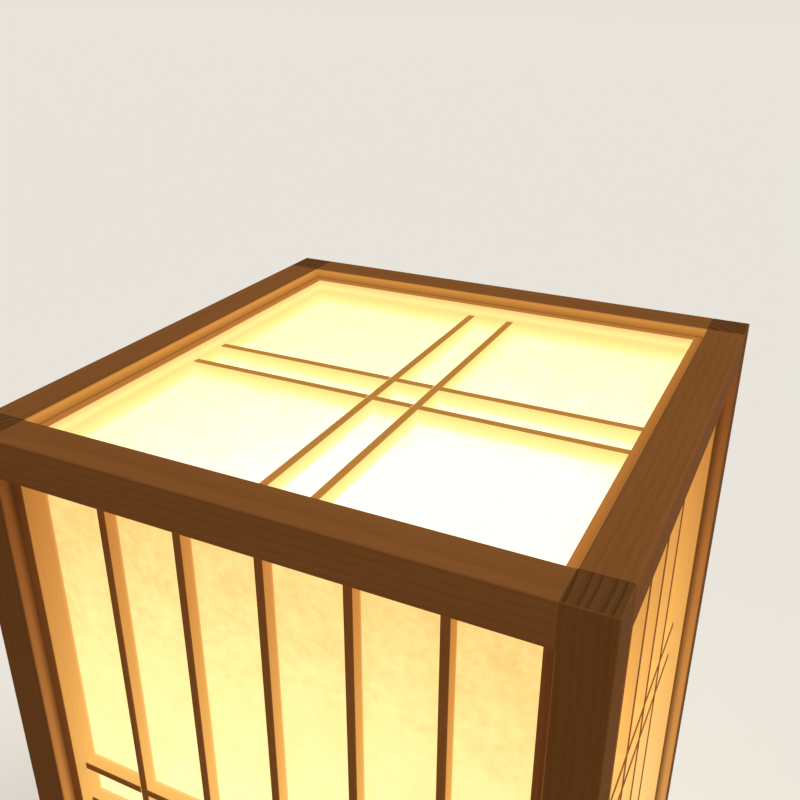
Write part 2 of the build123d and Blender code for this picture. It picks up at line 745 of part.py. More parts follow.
def make_bulb_housing():
    """Funnel-shaped housing from the cap's collar to the rim of the globe, with a shelf inside."""
    neck_radius = thread_mid_radius - cap_wall - neck_gap
    wall = bulb_wall
    shelf_radius = rim_radius - wall - shelf_width
    shelf_drop = led_board_bottom - wall
    with BuildPart() as housing:
        with BuildSketch(Plane.XZ):
            with BuildLine():
                Polyline((neck_radius - wall, cap_top), (neck_radius - wall, thread_top),
                         (neck_radius, thread_top), (neck_radius, cap_top),
                         (thread_mid_radius, cap_top))
                Spline((thread_mid_radius, cap_top), (rim_radius, bulb_rim),
                       tangents=((funnel_foot_lean, 1), (funnel_rim_lean, 1)))
                Polyline((rim_radius, bulb_rim), (rim_radius - wall, bulb_rim),
                         (rim_radius - wall, led_board_bottom), (shelf_radius, led_board_bottom),
                         (shelf_radius, shelf_drop))
                Spline((shelf_radius, shelf_drop), (neck_radius - wall, cap_top),
                       tangents=((-funnel_foot_lean, -1), (-funnel_rim_lean, -1)))
            make_face()
        revolve(axis=Axis.Z)
    return housing


def make_bulb_globe():
    """Frosted dome, a part sphere with an even wall, standing on the rim of the housing."""
    inner_radius = bulb_radius - bulb_wall
    inner_rim = sqrt(inner_radius ** 2 - rim_drop ** 2)
    with BuildPart() as globe:
        with BuildSketch(Plane.XZ):
            with BuildLine():
                ThreePointArc((rim_radius, bulb_rim), (bulb_radius, globe_centre), (0, bulb_top))
                Line((0, bulb_top), (0, bulb_top - bulb_wall))
                ThreePointArc((0, bulb_top - bulb_wall), (inner_radius, globe_centre),
                              (inner_rim, bulb_rim))
                Line((inner_rim, bulb_rim), (rim_radius, bulb_rim))
            make_face()
        revolve(axis=Axis.Z)
    return globe


def make_led_board():
    """Round board that carries the emitters, lying on the housing's shelf."""
    with BuildPart() as board:
        with BuildSketch(Plane.XY.offset(led_board_bottom)):
            Circle(rim_radius - bulb_wall - neck_gap)
        extrude(amount=led_board_thickness)
    return board


def make_leds():
    """Ring of square emitters on the board."""
    with BuildPart() as leds:
        with BuildSketch(Plane.XY.offset(led_board_top)):
            with PolarLocations(led_ring_radius, led_count, start_angle=360 / led_count / 2):
                Rectangle(led_size, led_size)
        extrude(amount=led_height)
    return leds


def make_driver():
    """Power board that hangs from the emitter board, with its capacitor on one face."""
    with BuildPart() as driver:
        with BuildSketch(Plane.XY.offset(led_board_bottom)):
            Rectangle(driver_width, driver_thickness)
        extrude(amount=-driver_height)
        with BuildSketch(Plane.XY.offset(led_board_bottom - capacitor_height / 2)):
            with Locations((0, driver_thickness / 2 + capacitor_diameter / 2 - capacitor_seat)):
                Circle(capacitor_diameter / 2)
        extrude(amount=-capacitor_height)
    return driver


# ================================================================ feet

def make_pads():
    """Felt pad under each post."""
    with BuildPart() as pads:
        with BuildSketch():
            with GridLocations(2 * post_centre, 2 * post_centre, 2, 2):
                Circle(pad_diameter / 2)
        extrude(amount=pad_thickness)
    return pads


# ================================================================ write every piece

os.makedirs("parts", exist_ok=True)

for row, y in (("front", -post_centre), ("back", post_centre)):
    for column, x in (("left", -post_centre), ("right", post_centre)):
        save(make_post(x, y), f"post_{row}_{column}")

top_tenon, bottom_tenon = tenon_levels()
for side, angle in sides.items():
    save(make_rail(angle, top_rail_bottom, top_rail_height, *top_tenon), f"top_rail_{side}")
    save(make_rail(angle, bottom_rail_lift, bottom_rail_height, *bottom_tenon),
         f"bottom_rail_{side}")
    save(make_side_stiles(angle), f"{side}_panel_stiles")
    save(make_side_rails(angle), f"{side}_panel_rails")
    save(make_side_uprights(angle), f"{side}_kumiko_uprights")
    save(make_side_crossbars(angle), f"{side}_kumiko_crossbars")
    save(make_side_paper(angle), f"{side}_washi")

save(make_lid_stiles(), "top_panel_stiles")
save(make_lid_rails(), "top_panel_rails")
save(make_lid_bars(lengthwise=True), "top_kumiko_lengthwise")
save(make_lid_bars(lengthwise=False), "top_kumiko_crosswise")
save(make_lid_paper(), "top_washi")
save(make_ledges(), "top_panel_ledges")

save(make_board(), "lampholder_board")
save(make_cleats(), "board_cleats")
save(make_wood_screws(board_screw_places, board_top, board_screw_length), "board_screws")
save(make_grommet(), "cord_grommet")

save(make_holder_body(), "lampholder_body")
save(make_holder_shell(), "lampholder_shell")
save(make_holder_contact(), "lampholder_contact")
save(make_rivets(), "lampholder_rivets")
save(make_terminals(), "terminal_plates")
save(make_terminal_screws(), "terminal_screws")
save(make_wood_screws(holder_screw_places, board_top + flange_thickness, holder_screw_length),
     "lampholder_screws")

save(make_bulb_cap(), "bulb_screw_cap")
save(make_bulb_insulator(), "bulb_insulator")
save(make_bulb_tip(), "bulb_tip_contact")
save(make_bulb_housing(), "bulb_housing")
save(make_bulb_globe(), "bulb_globe")
save(make_led_board(), "bulb_led_board")
save(make_leds(), "bulb_leds")
save(make_driver(), "bulb_driver")

save(make_pads(), "foot_pads")
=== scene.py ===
"""Andon floor lamp: the finish of every piece, the studio and the camera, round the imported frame."""

from math import pi, radians

import bpy
from mathutils import Matrix, Vector


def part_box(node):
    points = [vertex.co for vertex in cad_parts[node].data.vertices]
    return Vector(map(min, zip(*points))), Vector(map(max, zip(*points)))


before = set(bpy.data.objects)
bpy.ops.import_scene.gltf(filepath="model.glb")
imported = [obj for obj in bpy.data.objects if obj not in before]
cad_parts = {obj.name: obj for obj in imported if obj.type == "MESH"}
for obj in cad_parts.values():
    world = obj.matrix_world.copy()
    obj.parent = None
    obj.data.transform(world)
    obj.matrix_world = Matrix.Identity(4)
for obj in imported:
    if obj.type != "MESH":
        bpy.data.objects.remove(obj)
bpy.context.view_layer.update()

MM = 1000.0              # metres to millimetres
BLACK = "#000000"
SIDES = ("front", "right", "back", "left")

# ---------------------------------------------------------------- sizes read from the frame, mm
# A level is a height over the floor. The others are distances out from the lamp's upright axis.
# The lid is the top panel, which lifts out.
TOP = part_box("post_front_right")[1].z * MM              # level of the posts' sawn tops
POST_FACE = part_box("post_front_right")[1].x * MM        # the posts' outer faces
POST_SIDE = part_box("post_front_right")[0].x * MM        # the posts' faces that the rails meet
OPENING_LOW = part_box("bottom_rail_front")[1].z * MM     # level of the bottom rails' tops
OPENING_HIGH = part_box("top_rail_front")[0].z * MM       # level of the top rails' undersides
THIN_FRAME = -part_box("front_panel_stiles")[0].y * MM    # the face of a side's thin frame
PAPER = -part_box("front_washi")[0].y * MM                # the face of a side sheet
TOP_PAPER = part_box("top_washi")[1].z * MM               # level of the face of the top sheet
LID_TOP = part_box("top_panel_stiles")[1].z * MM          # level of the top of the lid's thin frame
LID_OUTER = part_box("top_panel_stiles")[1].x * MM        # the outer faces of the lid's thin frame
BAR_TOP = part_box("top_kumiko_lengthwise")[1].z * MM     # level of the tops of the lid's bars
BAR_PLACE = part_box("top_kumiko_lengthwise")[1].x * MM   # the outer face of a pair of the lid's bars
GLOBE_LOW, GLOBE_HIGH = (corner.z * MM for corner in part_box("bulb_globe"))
LIGHT = (0.0, 0.0, (GLOBE_LOW + GLOBE_HIGH) / 2)        # middle of the glowing globe
REACH = TOP - LIGHT[2]                                  # from there to the top of the lamp


# ================================================================ helpers

# The inputs of the nodes used most, in their order. A noise takes its place, scale, detail,
# roughness, lacunarity and distortion. A map range takes a value, the two ends that it runs between
# and what they become, which is 0 and 1 unless given.

def colour(code):
    """Linear RGBA of an sRGB hex colour such as "#7A4E26"."""
    parts = [int(code[n:n + 2], 16) / 255 for n in (1, 3, 5)]
    return [c / 12.92 if c <= 0.04045 else ((c + 0.055) / 1.055) ** 2.4 for c in parts] + [1.0]


def add(tree, kind, *values, **settings):
    """Add a node, give its inputs in use their values in order, and return its first output in use.

    A value is a number, a vector, a hex colour or the output that feeds the input; None skips one.
    """
    node = tree.nodes.new("ShaderNode" + kind)
    for name, setting in settings.items():
        setattr(node, name, setting)
    inputs = [socket for socket in node.inputs if socket.enabled]
    for socket, value in zip(inputs, values):
        if isinstance(value, bpy.types.NodeSocket):
            tree.links.new(value, socket)
        elif value is not None:
            socket.default_value = colour(value) if isinstance(value, str) else value
    return next(socket for socket in node.outputs if socket.enabled)


def material(name, **shader):
    """A material of one Principled shader, with its plain settings on the shader's own sockets.

    Here and in feed, a socket is written with _ for each space in its name.
    """
    made = bpy.data.materials.new(name)
    made.use_nodes = True
    tree = made.node_tree
    tree.nodes.clear()
    surface = add(tree, "BsdfPrincipled").node
    for key, value in shader.items():
        surface.inputs[key.replace("_", " ")].default_value = value
    out = tree.nodes.new("ShaderNodeOutputMaterial")
    tree.links.new(surface.outputs[0], out.inputs["Surface"])
    return made, tree, surface


def feed(tree, surface, **outputs):
    """Let the outputs of nodes drive sockets of a shader."""
    for key, output in outputs.items():
        tree.links.new(output, surface.inputs[key.replace("_", " ")])


def give_off(tree, surface, light):
    """Let a surface give off light of a colour that nodes work out."""
    feed(tree, surface, Emission_Color=light)
    surface.inputs["Emission Strength"].default_value = 1.0


def place_mm(tree):
    """Object coordinates in millimetres."""
    return add(tree, "VectorMath", add(tree, "TexCoord").node.outputs["Object"], MM,
               operation="SCALE")


def stops(tree, level, *steps):
    """Blend colours along a level: steps are (level, hex colour) in rising order."""
    blended = steps[0][1]
    for (low, _), (high, code) in zip(steps, steps[1:]):
        share = add(tree, "MapRange", level, low, high)
        blended = add(tree, "Mix", share, blended, code, data_type="RGBA")
    return blended


def finish_node(name, made):
    """Give a CAD node its material."""
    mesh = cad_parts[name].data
    mesh.materials.clear()
    mesh.materials.append(made)


# ================================================================ light through the paper

FULL_GLOW = 4.4                      # level that the light nears beside the globe
SCATTERED = 0.08                     # level of what the inside of the lamp scatters everywhere
LEVELS = (0.5, 1.0, 2.1, 4.2)        # dimmer than any place here, at the head of a side, between a
                                     # quarter and a third of the way down it, beside the globe


def brightness(tree, spot, facing):
    """How bright the globe makes a place: 1 at the head of a side sheet, about 4 beside the globe.

    The light falls with the square of the distance from the globe and with the slant at which it
    meets the sheet, on top of what the inside of the lamp scatters, and it levels off close by.
    """
    away = add(tree, "VectorMath", spot, LIGHT, operation="DISTANCE")
    nearness = add(tree, "Math", REACH, away, operation="DIVIDE")
    square = add(tree, "Math", nearness, 2.0, operation="POWER")
    slant = add(tree, "Math", facing, away, operation="DIVIDE")
    direct = add(tree, "Math", square, slant, operation="MULTIPLY")
    levelled = add(tree, "Math", direct, add(tree, "Math", direct, 1.0), operation="DIVIDE")
    return add(tree, "Math", levelled, FULL_GLOW, SCATTERED, operation="MULTIPLY_ADD")


THICK = 0.9                          # light that the thickest spots of the paper let through
THIN = 1.1                           # light that the thinnest spots let through
SMALL_CLOUDS = 0.28                  # clouds in a millimetre
LARGE_CLOUDS = 0.07
CLOUD_RANGE = (0.32, 0.68)           # levels of their noise at the thickest and the thinnest spots
STRANDS = ((0.05, 0.4, 0.03),        # bends in a millimetre, turn of the pattern in radians, and the
           (0.08, 1.9, 0.02))        # light that it takes
STRAND_EDGE = 0.004                  # half the width of a strand, as a step of its noise
PAPER_RELIEF = 0.2                   # mm for a whole step of light, so 0.04 from thick to thin spots
PAPER_BUMP = 0.25                    # share of that relief that shows


def paper_clouds(tree, spot):
    """How much light handmade paper lets through, about 1: soft clouds 4 and 14 mm across, and
    a few long strands that lie in the sheet, each where a bent noise passes its middle.

    A single fibre is too fine to show, so each strand stands for a bundle of them.
    """
    small = add(tree, "TexNoise", spot, SMALL_CLOUDS, 2.0, 0.45)
    large = add(tree, "TexNoise", spot, LARGE_CLOUDS, 2.0)
    both = add(tree, "Mix", 0.5, small, large)
    clouds = add(tree, "MapRange", both, *CLOUD_RANGE, THICK, THIN)
    for bends, turn, weight in STRANDS:
        turned = add(tree, "Mapping", spot, None, (turn, turn, turn))
        curl = add(tree, "TexNoise", turned, bends, 2.0, None, None, 1.2)
        off_line = add(tree, "Math", curl, 0.5, operation="SUBTRACT")
        from_line = add(tree, "Math", off_line, operation="ABSOLUTE")
        strand = add(tree, "MapRange", from_line, 0.0, STRAND_EDGE, weight, 0.0)
        clouds = add(tree, "Math", clouds, strand, operation="SUBTRACT")
    return clouds


def kozo_washi(name):
    """Handmade mulberry paper, as every sheet has it: cloudy, matt and a little rough to the eye."""
    made, tree, surface = material(name, Roughness=0.9, Specular_IOR_Level=0.1)
    spot = place_mm(tree)
    clouds = paper_clouds(tree, spot)
    # Painted light: the paper's own off-white is given amber, as the lamp's warm light shows it; the
    # clouds are its own.
    feed(tree, surface, Base_Color=stops(tree, clouds, (THICK, "#C8A15E"), (THIN, "#D1AC6A")),
         Normal=add(tree, "Bump", PAPER_BUMP, PAPER_RELIEF / MM, None, clouds))
    return made, tree, surface, spot, clouds


def side_paper():
    """Side sheets, with the globe's light painted on as a glow: warm yellow at the head, paling to
    cream round the globe.
    """
    made, tree, surface, spot, clouds = kozo_washi("kozo_washi_side")
    level = add(tree, "Math", brightness(tree, spot, PAPER), clouds, operation="MULTIPLY")
    give_off(tree, surface, stops(tree, level, (0.5, "#B87430"), (1.0, "#E4BE76"), (1.45, "#ECE098"),
                                  (2.1, "#EEECAE"), (4.2, "#F2F2E8")))
    return made


HOT_SPOT = (60.0, -120.0, TOP_PAPER)     # middle of a painted highlight, where the top sheet is whitest, mm
HOT_REACH = 100.0                        # over how far that fades, mm
HOT_LEVEL = 5.0                          # what the painted highlight adds at its middle
HOT_FADE = -1.5                          # power of its fall with the square of the distance
STICK_SHADE = 0.8                        # light that is left at the foot of a stick
SHADE_REACH = 8.0                        # how far from the stick that shade ends, mm


def top_paper():
    """Top sheet: cream, whiter towards one corner under a painted highlight, and a little yellower
    where the painted shade of the sticks falls.
    """
    made, tree, surface, spot, clouds = kozo_washi("kozo_washi_top")
    x, y, z = add(tree, "SeparateXYZ", spot).node.outputs
    level = brightness(tree, spot, add(tree, "Math", z, LIGHT[2], operation="SUBTRACT"))
    away = add(tree, "VectorMath", spot, HOT_SPOT, operation="DISTANCE")
    share = add(tree, "Math", away, HOT_REACH, operation="DIVIDE")
    fall = add(tree, "Math", share, share, 1.0, operation="MULTIPLY_ADD")
    highlight = add(tree, "Math", fall, HOT_FADE, operation="POWER")
    level = add(tree, "Math", highlight, HOT_LEVEL, level, operation="MULTIPLY_ADD")
    across, deep = (add(tree, "Math", way, operation="ABSOLUTE") for way in (x, y))
    edge = add(tree, "Math", across, deep, operation="MAXIMUM")
    to_stick = add(tree, "Math", LID_OUTER, edge, operation="SUBTRACT")
    for way in (across, deep):
        past_bar = add(tree, "Math", way, BAR_PLACE, operation="SUBTRACT")
        to_bar = add(tree, "Math", past_bar, operation="ABSOLUTE")
        to_stick = add(tree, "Math", to_stick, to_bar, operation="MINIMUM")
    shade = add(tree, "MapRange", to_stick, 0.0, SHADE_REACH, STICK_SHADE, 1.0)
    level = add(tree, "Math", level, shade, operation="MULTIPLY")
    level = add(tree, "Math", level, clouds, operation="MULTIPLY")
    give_off(tree, surface,
             stops(tree, level, (1.2, "#E8D880"), (2.3, "#E8E8AC"), (4.2, "#F2F2EC")))
    return made


# ================================================================ wood

# The three axes by number for each direction of the grain: two across it, then the one along it.
# The sets of three below are in that order too.
ORDER = {"X": (1, 2, 0), "Y": (0, 2, 1), "Z": (0, 1, 2)}
# Where the pith lies that the years are counted from, mm: outside every stick of that grain.
PITH = {"X": (-70.0, 770.0, 0.0), "Y": (-90.0, 520.0, 0.0), "Z": (-60.0, -131.0, 0.0)}
BENDS = (0.012, 0.012, 0.0035)       # bends of the year lines in a millimetre
WANDER = (9.0, 9.0, 0.0)             # mm by which they bend away from true arcs
DRIFTS = (0.035, 0.035, 0.006)       # slow changes of tone in a millimetre
FIBRES = (2.6, 2.6, 0.09)            # fibres in a millimetre, ten times coarser than real ones,
                                     # which are too fine to show
UNEVEN = 0.6                         # share of a year by which a line may lie off its even place
LATE = 3.2                           # how late in its year the wood darkens
LINE_FADE = (0.86, 1.0)              # shares of a year between which the dark line ends
LINE_GAIN = 1.3                      # what it is multiplied by before that


def grain(tree, spot, along, ring):
    """Year lines, fibres and slow drift of colour in a stick whose grain runs along one axis.

    The years are the distance from a pith outside the stick, so they show as nearly straight
    lines on the long faces and as arcs on the ends, unevenly spaced.
    """
    axes = add(tree, "SeparateXYZ", spot).node.outputs
    lying = add(tree, "CombineXYZ", *(axes[n] for n in ORDER[along]))
    slow = add(tree, "Mapping", lying, None, None, BENDS)
    bend = add(tree, "TexNoise", slow, 1.0, 2.0).node.outputs["Color"]
    bent = add(tree, "VectorMath", bend, WANDER, lying, operation="MULTIPLY_ADD")
    flat = add(tree, "VectorMath", bent, (1.0, 1.0, 0.0), operation="MULTIPLY")
    radius = add(tree, "VectorMath", flat, PITH[along], operation="DISTANCE")
    years = add(tree, "Math", radius, ring, operation="DIVIDE")
    uneven = add(tree, "TexNoise", years, 0.5, 1.0, noise_dimensions="1D")
    shifted = add(tree, "Math", uneven, UNEVEN, years, operation="MULTIPLY_ADD")
    year = add(tree, "Math", shifted, operation="FRACT")
    late = add(tree, "Math", year, LATE, operation="POWER")
    end_of_year = add(tree, "MapRange", year, *LINE_FADE, LINE_GAIN, 0.0)
    latewood = add(tree, "Math", late, end_of_year, operation="MULTIPLY")
    thin = add(tree, "Mapping", lying, None, None, FIBRES)
    fibre = add(tree, "TexNoise", thin, 1.0, 3.0, 0.6)
    broad = add(tree, "Mapping", lying, None, None, DRIFTS)
    drift = add(tree, "TexNoise", broad, 1.0, 1.0)
    return latewood, fibre, drift


SAWN = (0.75, 0.95)                  # part of the normal along the grain where a sawn end begins
                                     # and where it is wholly one
STREAK_COLOUR = "#613917"
STREAK_RANGE = (0.3, 0.7)            # levels of the fibres' noise with no streak and with a full one
STREAK_SHARE = 0.3                   # of the streak's colour in a full one
LINE_COLOUR = "#40240E"
LINE_SHARES = (0.17, 0.95)           # of it in the year lines, on the faces and on the sawn ends
END_COLOUR = "#3E2C1A"
END_SHARE = 0.35                     # of it all over a sawn end, whose open pores take up light
ROUGHNESS = (0.7, 0.9)               # of planed faces and of sawn ends
LINE_RIDGE = 0.6                     # how far the year lines stand up, against 1 for the fibres
WOOD_RELIEF = 0.12                   # mm from the lowest fibre to the highest one
WOOD_BUMP = 0.35                     # share of that relief that shows


def planed_cedar(name, along, ring, board, light=None):
    """Planed softwood, unvarnished: warm brown and dull, with thin darker year lines that read as
    straight pencil strokes on the faces and as strong bands on the sawn ends. The board that the
    sticks are cut from gives the two tones between which they drift."""
    made, tree, surface = material(name, Specular_IOR_Level=0.005)
    spot = place_mm(tree)
    latewood, fibre, drift = grain(tree, spot, along, ring)
    normal = add(tree, "SeparateXYZ", add(tree, "TexCoord").node.outputs["Normal"]).node.outputs
    on_end = add(tree, "Math", normal["XYZ".index(along)], operation="ABSOLUTE")
    sawn = add(tree, "MapRange", on_end, *SAWN)
    tone = add(tree, "Mix", drift, *board, data_type="RGBA")
    streaks = add(tree, "MapRange", fibre, *STREAK_RANGE, 0.0, STREAK_SHARE)
    streaked = add(tree, "Mix", streaks, tone, STREAK_COLOUR, data_type="RGBA")
    line = add(tree, "MapRange", sawn, 0.0, 1.0, *LINE_SHARES)
    drawn = add(tree, "Math", latewood, line, operation="MULTIPLY")
    lined = add(tree, "Mix", drawn, streaked, LINE_COLOUR, data_type="RGBA")
    darkened = add(tree, "Mix", END_SHARE, lined, END_COLOUR, data_type="RGBA")
    ridge = add(tree, "Math", latewood, LINE_RIDGE, fibre, operation="MULTIPLY_ADD")
    feed(tree, surface, Base_Color=add(tree, "Mix", sawn, lined, darkened, data_type="RGBA"),
         Roughness=add(tree, "MapRange", sawn, 0.0, 1.0, *ROUGHNESS),
         Normal=add(tree, "Bump", WOOD_BUMP, WOOD_RELIEF / MM, None, ridge))
    # Painted light: where a light is given, the wood gives off the glow that the lit paper casts on
    # it.
    if light:
        give_off(tree, surface, light(tree, spot, normal))
    return made


# ================================================================ light on the wood

FLANK = (0.72, 0.3)                  # part of the normal away from the paper where a flank begins
                                     # and where it is wholly one
BY_PAPER = 2.4                       # mm over the paper up to which its light makes flanks yellower
BY_PAPER_FALL = 3.0                  # power by which that fades on the way out
FACE_SHARE = 0.72                    # light left on a flank as far out as the posts' faces


def distance_out(tree, spot):
    """How far out from the axis of the lamp a place is, square to the side that it belongs to, and
    along that side; and whether it is the left or right side."""
    x, y, _ = add(tree, "SeparateXYZ", spot).node.outputs
    across, deep = (add(tree, "Math", way, operation="ABSOLUTE") for way in (x, y))
    return [add(tree, "Math", across, deep, operation=way)
            for way in ("MAXIMUM", "MINIMUM", "GREATER_THAN")]


def side_light(tree, spot, normal):
    """Light from the side sheets on the flanks of the sticks round every pane: amber at the face
    of the lattice, yellower and brighter down by the paper."""
    out, _, left_or_right = distance_out(tree, spot)
    x, y, _ = (add(tree, "Math", part, operation="ABSOLUTE") for part in normal)
    outward = add(tree, "Mix", left_or_right, y, x)
    flank = add(tree, "MapRange", outward, *FLANK)
    level = brightness(tree, spot, PAPER)
    lit = stops(tree, level, *zip(LEVELS, ("#7A4A1C", "#B07C3C", "#EAB862", "#FFDC96")))
    bounced = stops(tree, level, *zip(LEVELS, ("#9A6428", "#EAB05C", "#FCE08A", "#FFF0B8")))
    depth = add(tree, "MapRange", out, PAPER + BY_PAPER, PAPER)
    by_paper = add(tree, "Math", depth, BY_PAPER_FALL, operation="POWER")
    warm = add(tree, "Mix", by_paper, lit, bounced, data_type="RGBA")
    dimmed = add(tree, "MapRange", out, PAPER, POST_FACE, 1.0, FACE_SHARE)
    share = add(tree, "Math", flank, dimmed, operation="MULTIPLY")
    return add(tree, "Mix", share, BLACK, warm, data_type="RGBA")


# A face looks into the lamp where its normal points against its place, counted from the middle of
# the lamp. These are what the place counts in X, Y and Z: the way along the side most, so that the
# broken arris of a post beside an opening still catches part of its light.
WEIGHTS_FRONT_BACK = (1.0, 0.65, 0.15)
WEIGHTS_LEFT_RIGHT = (0.65, 1.0, 0.15)
INWARD = (-4.0, -30.0)               # their product in mm where the light begins and where it is full
FRAME_SHADE = 3.0                    # mm to each side of the thin frame's face where its shade ends
SHADE_SHARES = (0.25, 0.9)           # light left in the middle of that shade and past its end
LID_BLEND = 1.0                      # mm under the lid's top over which the wall's light takes over
WALL_BRIGHTEST = 1.0                 # mm under the rails' tops where the wall is at its brightest
GROOVE = 0.4                         # mm from a post's side to the far edge of its broken arris
GROOVE_HALF = 0.6                    # share of it to each side of its middle, with a little over
# painted light that lifts the shade in the grooves where the posts meet the rails
GROOVE_GLOW = "#38220E"


def frame_light(tree, spot, normal):
    """Light on the faces of posts and rails that look into an opening, dim beside the thin frame
    that shades them, on the wall round the lift-out top, and faintly in the grooves where the
    posts meet the rails."""
    z = add(tree, "SeparateXYZ", spot).node.outputs["Z"]
    out, along, left_or_right = distance_out(tree, spot)
    weights = add(tree, "Mix", left_or_right, WEIGHTS_FRONT_BACK, WEIGHTS_LEFT_RIGHT,
                  data_type="VECTOR")
    centred = add(tree, "VectorMath", spot, (0.0, 0.0, TOP / 2), operation="SUBTRACT")
    leaning = add(tree, "VectorMath", centred, weights, operation="MULTIPLY")
    facing = add(tree, "CombineXYZ", *normal)
    heading = add(tree, "VectorMath", leaning, facing, operation="DOT_PRODUCT")
    inward = add(tree, "MapRange", heading, *INWARD)
    past_frame = add(tree, "Math", out, THIN_FRAME, operation="SUBTRACT")
    from_frame = add(tree, "Math", past_frame, operation="ABSOLUTE")
    clear = add(tree, "MapRange", from_frame, 0.0, FRAME_SHADE, *SHADE_SHARES)
    level = brightness(tree, spot, PAPER)
    side = stops(tree, level, *zip(LEVELS, ("#5E3814", "#74441E", "#C08040", "#DCA85E")))
    wall = stops(tree, z, (LID_TOP, "#A8702E"), (TOP - WALL_BRIGHTEST, "#CB8D40"))
    at_lid = add(tree, "MapRange", z, LID_TOP - LID_BLEND, LID_TOP)
    lit = add(tree, "Mix", at_lid, side, wall, data_type="RGBA")
    share = add(tree, "Math", clear, inward, operation="MULTIPLY")
    shown = add(tree, "Mix", share, BLACK, lit, data_type="RGBA")
    above = add(tree, "Math", z, OPENING_HIGH, operation="GREATER_THAN")
    below = add(tree, "Math", z, OPENING_LOW, operation="LESS_THAN")
    at_rail = add(tree, "Math", above, below, operation="MAXIMUM")
    beside = add(tree, "Math", along, POST_SIDE + GROOVE / 2, GROOVE_HALF * GROOVE,
                 operation="COMPARE")
    groove = add(tree, "Math", beside, at_rail, operation="MULTIPLY")
    return add(tree, "Mix", groove, shown, GROOVE_GLOW, data_type="RGBA")


LID_RIM = (0.4, 1.2)                 # mm in from the lid's outer faces where its light begins, and
                                     # where it is full
PALE_FOOT = 2.0                      # mm over the sheet where the palest part of a stick ends
FRAME_GLOW = 4.0                     # mm under the lid's top where its frame is yellowest


def lid_light(tree, spot, normal):
    """Light from the top sheet on its frame and bars: pale yellow at the foot of a stick, amber at
    its upper edge, and brown where it only shines through the wood."""
    z = add(tree, "SeparateXYZ", spot).node.outputs["Z"]
    flank = add(tree, "MapRange", normal["Z"], *FLANK)
    side = stops(tree, z, (TOP_PAPER, "#FFFFBE"), (TOP_PAPER + PALE_FOOT, "#FBF8A0"),
                 (BAR_TOP, "#F6DE86"), (LID_TOP - FRAME_GLOW, "#FCEE98"), (LID_TOP, "#EEC67A"))
    top = stops(tree, z, (BAR_TOP, "#90682A"), (LID_TOP, "#8E5C26"))
    lit = add(tree, "Mix", flank, top, side, data_type="RGBA")
    rim_out, rim_in = (LID_OUTER - inset for inset in LID_RIM)
    inner = add(tree, "MapRange", distance_out(tree, spot)[0], rim_out, rim_in)
    return add(tree, "Mix", inner, BLACK, lit, data_type="RGBA")


# ================================================================ wooden and paper pieces

FRAME_RING = 3.6                        # mm from one year line to the next in posts and rails
STICK_RING = 1.5                        # tighter grain in the thin sticks
POST_BOARD = ("#6B421D", "#774B25")     # darker and lighter tone of the board they are cut from
RAIL_BOARD = ("#784A23", "#89582D")
STICK_BOARD = ("#8A5226", "#9A6231")

cedar = {}
for use, directions, ring, board, light in (("frame", "Z", FRAME_RING, POST_BOARD, frame_light),
                                            ("frame", "XY", FRAME_RING, RAIL_BOARD, frame_light),
                                            ("side", "XYZ", STICK_RING, STICK_BOARD, side_light),
                                            ("lid", "XY", STICK_RING, RAIL_BOARD, lid_light),
                                            ("inside", "XY", FRAME_RING, RAIL_BOARD, None)):
    for along in directions:
        cedar[use, along] = planed_cedar(f"planed_cedar_{use}_{along}", along, ring, board, light)

side_washi = side_paper()

for row in ("front", "back"):
    for column in ("left", "right"):
        finish_node(f"post_{row}_{column}", cedar["frame", "Z"])
for side in SIDES:
    along = "X" if side in ("front", "back") else "Y"
    finish_node(f"top_rail_{side}", cedar["frame", along])
    finish_node(f"bottom_rail_{side}", cedar["frame", along])
    finish_node(f"{side}_panel_stiles", cedar["side", "Z"])
    finish_node(f"{side}_panel_rails", cedar["side", along])
    finish_node(f"{side}_kumiko_uprights", cedar["side", "Z"])
    finish_node(f"{side}_kumiko_crossbars", cedar["side", along])
    finish_node(f"{side}_washi", side_washi)
finish_node("top_panel_stiles", cedar["lid", "Y"])
finish_node("top_panel_rails", cedar["lid", "X"])
finish_node("top_kumiko_lengthwise", cedar["lid", "Y"])
finish_node("top_kumiko_crosswise", cedar["lid", "X"])
finish_node("top_washi", top_paper())
finish_node("top_panel_ledges", cedar["inside", "X"])
finish_node("lampholder_board", cedar["inside", "X"])
finish_node("board_cleats", cedar["inside", "Y"])


# ================================================================ fittings and bulb

MOTTLE_RANGE = (0.35, 0.65)          # levels of the mottling's noise at its darkest and its lightest
MOTTLE_BUMP = 0.6                    # share of its relief that shows


def speckled(name, dark, light, size_mm, roughness, bump_mm=0.0, **shader):
    """A plain material with fine mottling of its colour and a matching relief."""
    made, tree, surface = material(name, Roughness=roughness, **shader)
    mottle = add(tree, "TexNoise", place_mm(tree), 1.0 / size_mm, 4.0)
    feed(tree, surface, Base_Color=stops(tree, mottle, *zip(MOTTLE_RANGE, (dark, light))))
    if bump_mm:
        feed(tree, surface, Normal=add(tree, "Bump", MOTTLE_BUMP, bump_mm / MM, None, mottle))
    return made


# Moulded rubber: nearly black and dull, with the fine skin that its mould leaves.
finish_node("cord_grommet", speckled("moulded_rubber", "#141414", "#1E1D1C", 1.5, 0.7, 0.03))

# Moulded phenolic: dark red-brown and glossy, as it comes from a polished mould.
finish_node("lampholder_body", speckled("moulded_phenolic", "#2A1710", "#3A2216", 2.0, 0.28, 0.01))

